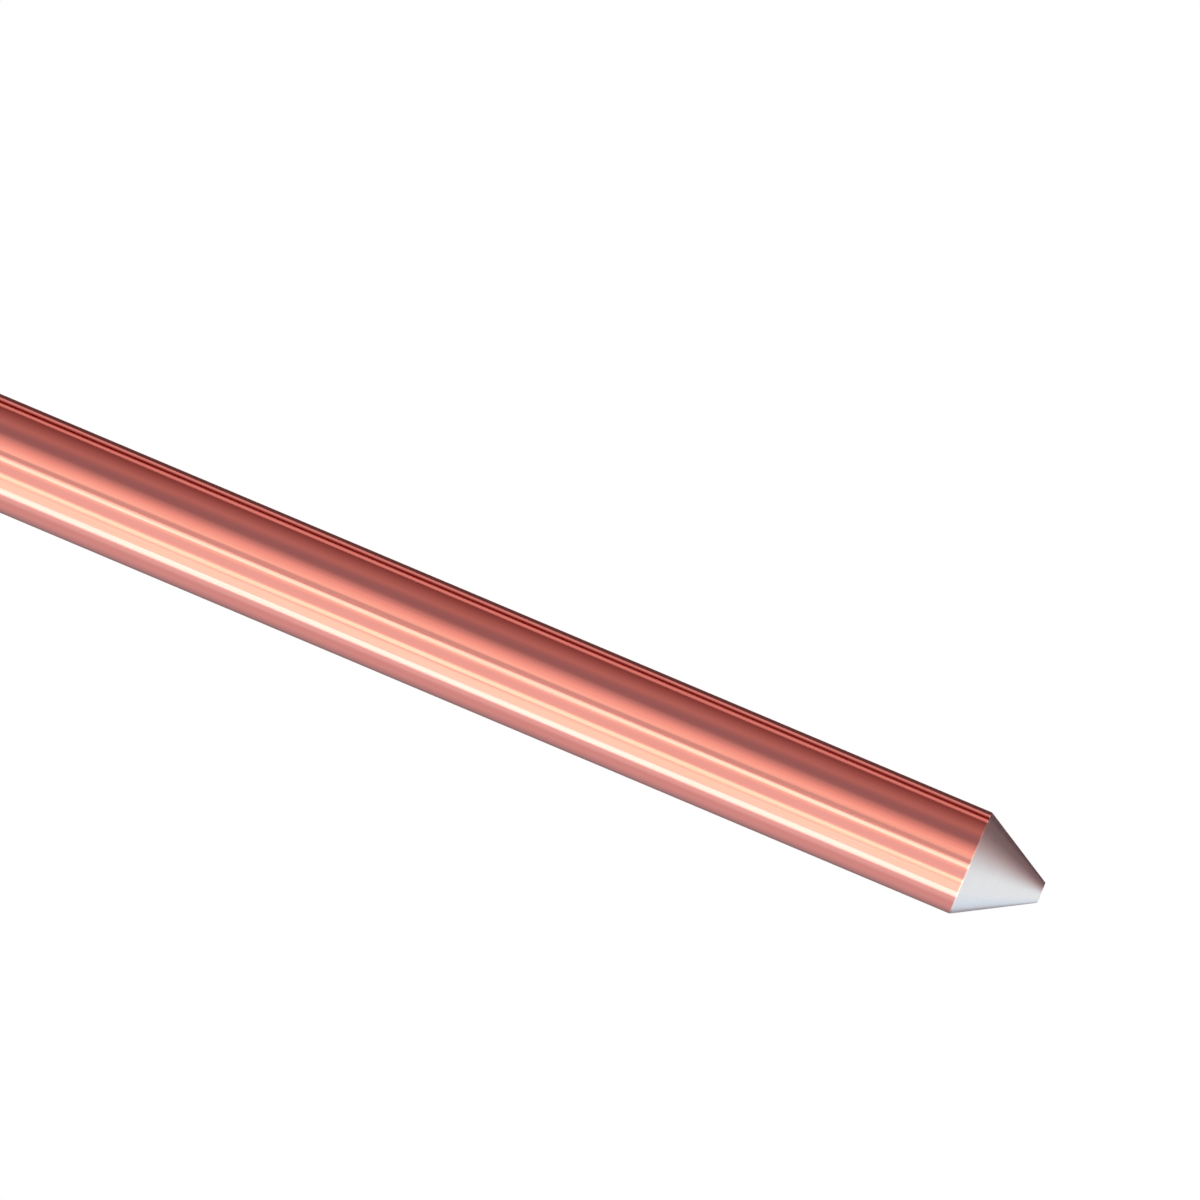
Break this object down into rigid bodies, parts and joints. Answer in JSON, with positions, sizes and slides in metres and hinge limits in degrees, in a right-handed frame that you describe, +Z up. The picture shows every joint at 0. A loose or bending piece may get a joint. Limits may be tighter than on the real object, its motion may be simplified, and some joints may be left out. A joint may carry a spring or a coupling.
{
  "type": "earth rod",
  "caption": "Straight round steel rod with a bonded copper jacket, a blunt conical point and a chamfered driving head, driven into soil as an earth electrode.",
  "frame": {"origin": "Centre of the flat on the point, the lowest point of the rod.", "axes": "+Z runs up the rod's axis from the point to the driving face. The rod is round, so +X and +Y have no feature of their own."},
  "size_m": [0.0142, 0.0142, 1.2],
  "materials": {
    "steel": "machined",
    "copper": "polished"
  },
  "bodies": {
    "root": {"steel_core": "steel", "copper_jacket": "copper"}
  },
  "joints": []
}
